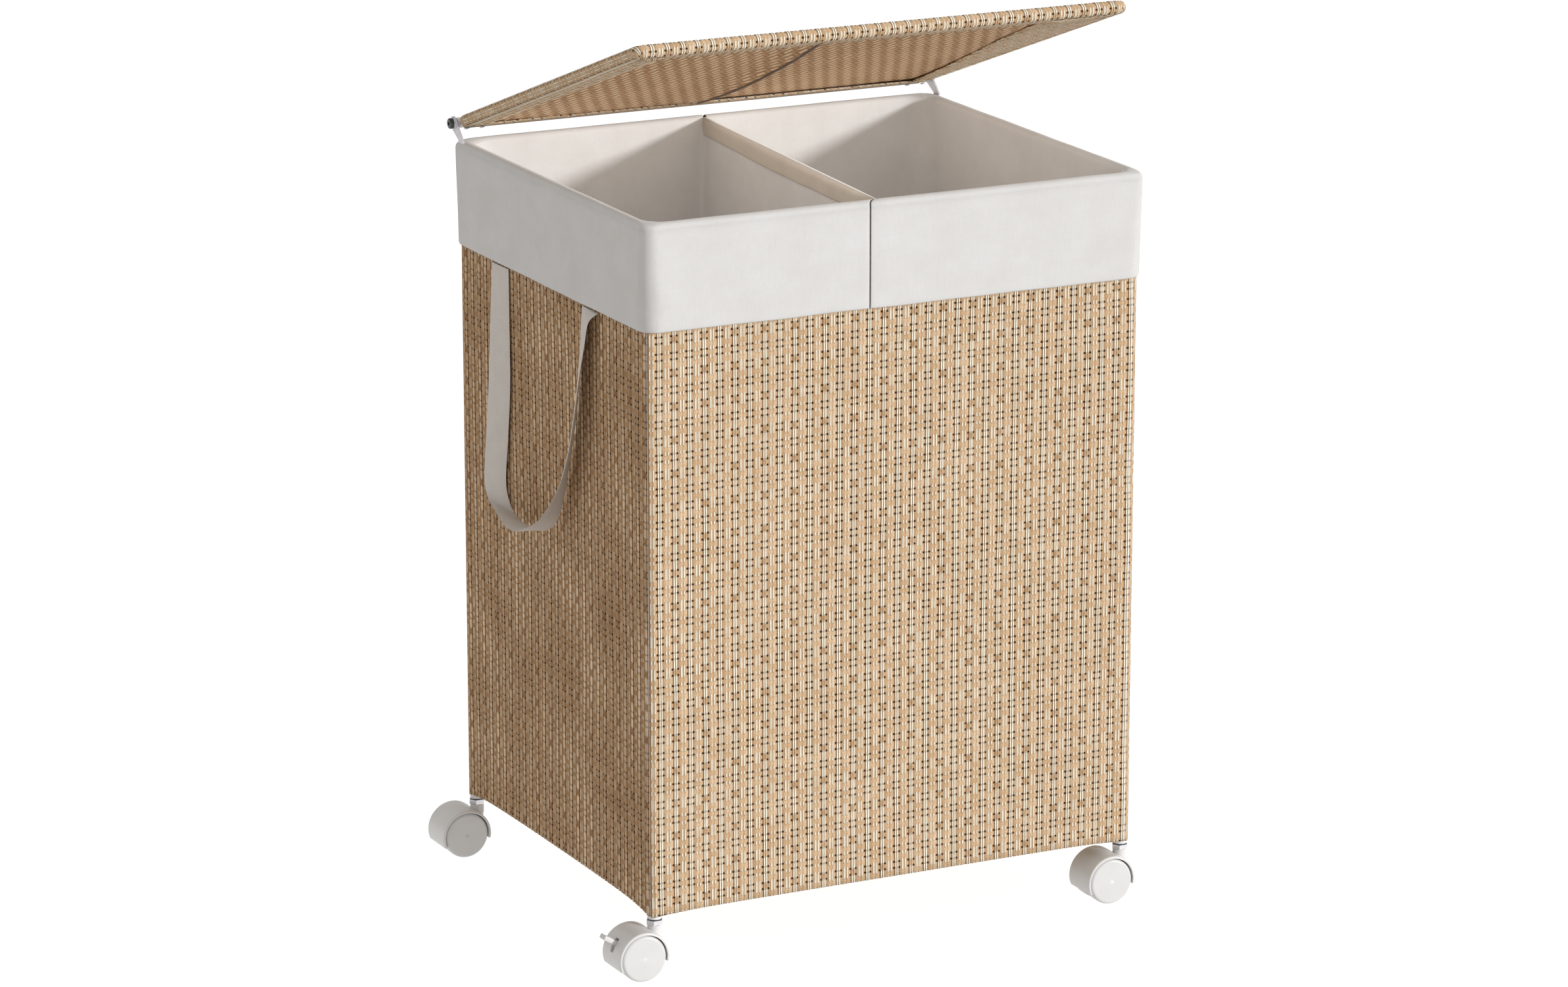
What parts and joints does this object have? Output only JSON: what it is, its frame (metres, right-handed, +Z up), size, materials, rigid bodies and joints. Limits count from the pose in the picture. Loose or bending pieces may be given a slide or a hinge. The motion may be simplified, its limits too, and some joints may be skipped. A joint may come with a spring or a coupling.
{
  "type": "laundry sorter",
  "caption": "Rectangular woven laundry hamper on swivel casters, with a hinged woven lid, cloth liner bags side by side, and webbing side handles.",
  "frame": {"origin": "on the floor, under the centre of the body", "axes": "+Z up; +X to the right along the long front; +Y towards the back, where the lid is hinged"},
  "size_m": [0.5293, 0.3966, 0.7759],
  "materials": {
    "black_steel": "black oxide",
    "bracket_paint": "satin",
    "caster_plastic": "moulded",
    "connector_plastic": "moulded",
    "frame_tube": "satin powder coat",
    "hardboard": "smooth hardboard",
    "hook_and_loop": "napped",
    "liner_cloth": "plain weave",
    "plug_plastic": "moulded",
    "webbing": "woven webbing",
    "wheel_plastic": "moulded",
    "woven": "woven paper yarn in tan and cream",
    "zinc": "zinc plated"
  },
  "bodies": {
    "hamper": {"base_board": "hardboard", "bottom_rail_back": "frame_tube", "bottom_rail_front": "frame_tube", "bottom_rail_left": "frame_tube", "bottom_rail_middle": "frame_tube", "bottom_rail_right": "frame_tube", "bracket_screws": "zinc", "caster_back_left_stem": "zinc", "caster_back_right_stem": "zinc", "caster_front_left_stem": "zinc", "caster_front_right_stem": "zinc", "handle_tabs": "webbing", "hinge_bracket_left": "bracket_paint", "hinge_bracket_right": "bracket_paint", "hook_and_loop_strip": "hook_and_loop", "liner_bag_left": "liner_cloth", "liner_bag_right": "liner_cloth", "post_back_left": "frame_tube", "post_back_right": "frame_tube", "post_end_plugs": "plug_plastic", "post_front_left": "frame_tube", "post_front_right": "frame_tube", "shell_back": "woven", "shell_bottom": "woven", "shell_front": "woven", "shell_left": "woven", "shell_right": "woven", "top_connectors": "connector_plastic", "top_rail_back": "frame_tube", "top_rail_front": "frame_tube", "top_rail_left": "frame_tube", "top_rail_right": "frame_tube"},
    "lid": {"lid_back_bar": "frame_tube", "lid_bolts": "black_steel", "lid_cover": "woven", "lid_flap_left": "woven", "lid_flap_right": "woven", "lid_hoop": "frame_tube", "lid_washers": "zinc"},
    "wheel_front_left_front": {"caster_front_left_wheel_front": "wheel_plastic"},
    "wheel_front_left_back": {"caster_front_left_wheel_back": "wheel_plastic"},
    "caster_front_left": {"caster_front_left_hood": "caster_plastic", "caster_front_left_axle": "zinc"},
    "brake_front_left": {"caster_front_left_brake_lever": "caster_plastic"},
    "wheel_front_right_front": {"caster_front_right_wheel_front": "wheel_plastic"},
    "wheel_front_right_back": {"caster_front_right_wheel_back": "wheel_plastic"},
    "caster_front_right": {"caster_front_right_hood": "caster_plastic", "caster_front_right_axle": "zinc"},
    "wheel_back_left_front": {"caster_back_left_wheel_front": "wheel_plastic"},
    "wheel_back_left_back": {"caster_back_left_wheel_back": "wheel_plastic"},
    "caster_back_left": {"caster_back_left_hood": "caster_plastic", "caster_back_left_axle": "zinc"},
    "wheel_back_right_front": {"caster_back_right_wheel_front": "wheel_plastic"},
    "wheel_back_right_back": {"caster_back_right_wheel_back": "wheel_plastic"},
    "caster_back_right": {"caster_back_right_hood": "caster_plastic", "caster_back_right_axle": "zinc"},
    "brake_back_right": {"caster_back_right_brake_lever": "caster_plastic"},
    "handle_left": {"handle_strap_left": "webbing"},
    "handle_right": {"handle_strap_right": "webbing"}
  },
  "joints": [
    {"name": "lid_hinge", "type": "hinge", "parent": "hamper", "child": "lid", "pos_m": [0, 0.1915, 0.649], "axis": [-1, 0, 0], "range_deg": [-19, 76]},
    {"name": "handle_swing_left", "type": "hinge", "parent": "hamper", "child": "handle_left", "pos_m": [-0.2291, 0, 0.5444], "axis": [0, 1, 0], "range_deg": [0, 80]},
    {"name": "handle_swing_right", "type": "hinge", "parent": "hamper", "child": "handle_right", "pos_m": [0.2291, 0, 0.5444], "axis": [0, -1, 0], "range_deg": [0, 80]},
    {"name": "swivel_front_left", "type": "hinge", "parent": "hamper", "child": "caster_front_left", "pos_m": [-0.2207, -0.1807, 0.04], "axis": [0, 0, 1], "continuous": true},
    {"name": "spin_front_left_front", "type": "hinge", "parent": "caster_front_left", "child": "wheel_front_left_front", "pos_m": [-0.2377, -0.19145, 0.02], "axis": [0, 1, 0], "continuous": true},
    {"name": "spin_front_left_back", "type": "hinge", "parent": "caster_front_left", "child": "wheel_front_left_back", "pos_m": [-0.2377, -0.16995, 0.02], "axis": [0, 1, 0], "continuous": true},
    {"name": "brake_front_left", "type": "hinge", "parent": "caster_front_left", "child": "brake_front_left", "pos_m": [-0.2486, -0.1807, 0.02708], "axis": [0, -1, 0], "range_deg": [0, 18]},
    {"name": "swivel_front_right", "type": "hinge", "parent": "hamper", "child": "caster_front_right", "pos_m": [0.2207, -0.1807, 0.04], "axis": [0, 0, 1], "continuous": true},
    {"name": "spin_front_right_front", "type": "hinge", "parent": "caster_front_right", "child": "wheel_front_right_front", "pos_m": [0.2037, -0.19145, 0.02], "axis": [0, 1, 0], "continuous": true},
    {"name": "spin_front_right_back", "type": "hinge", "parent": "caster_front_right", "child": "wheel_front_right_back", "pos_m": [0.2037, -0.16995, 0.02], "axis": [0, 1, 0], "continuous": true},
    {"name": "swivel_back_left", "type": "hinge", "parent": "hamper", "child": "caster_back_left", "pos_m": [-0.2207, 0.1807, 0.04], "axis": [0, 0, 1], "continuous": true},
    {"name": "spin_back_left_front", "type": "hinge", "parent": "caster_back_left", "child": "wheel_back_left_front", "pos_m": [-0.2377, 0.16995, 0.02], "axis": [0, 1, 0], "continuous": true},
    {"name": "spin_back_left_back", "type": "hinge", "parent": "caster_back_left", "child": "wheel_back_left_back", "pos_m": [-0.2377, 0.19145, 0.02], "axis": [0, 1, 0], "continuous": true},
    {"name": "swivel_back_right", "type": "hinge", "parent": "hamper", "child": "caster_back_right", "pos_m": [0.2207, 0.1807, 0.04], "axis": [0, 0, 1], "continuous": true},
    {"name": "spin_back_right_front", "type": "hinge", "parent": "caster_back_right", "child": "wheel_back_right_front", "pos_m": [0.2037, 0.16995, 0.02], "axis": [0, 1, 0], "continuous": true},
    {"name": "spin_back_right_back", "type": "hinge", "parent": "caster_back_right", "child": "wheel_back_right_back", "pos_m": [0.2037, 0.19145, 0.02], "axis": [0, 1, 0], "continuous": true},
    {"name": "brake_back_right", "type": "hinge", "parent": "caster_back_right", "child": "brake_back_right", "pos_m": [0.1928, 0.1807, 0.02708], "axis": [0, -1, 0], "range_deg": [0, 18]}
  ]
}
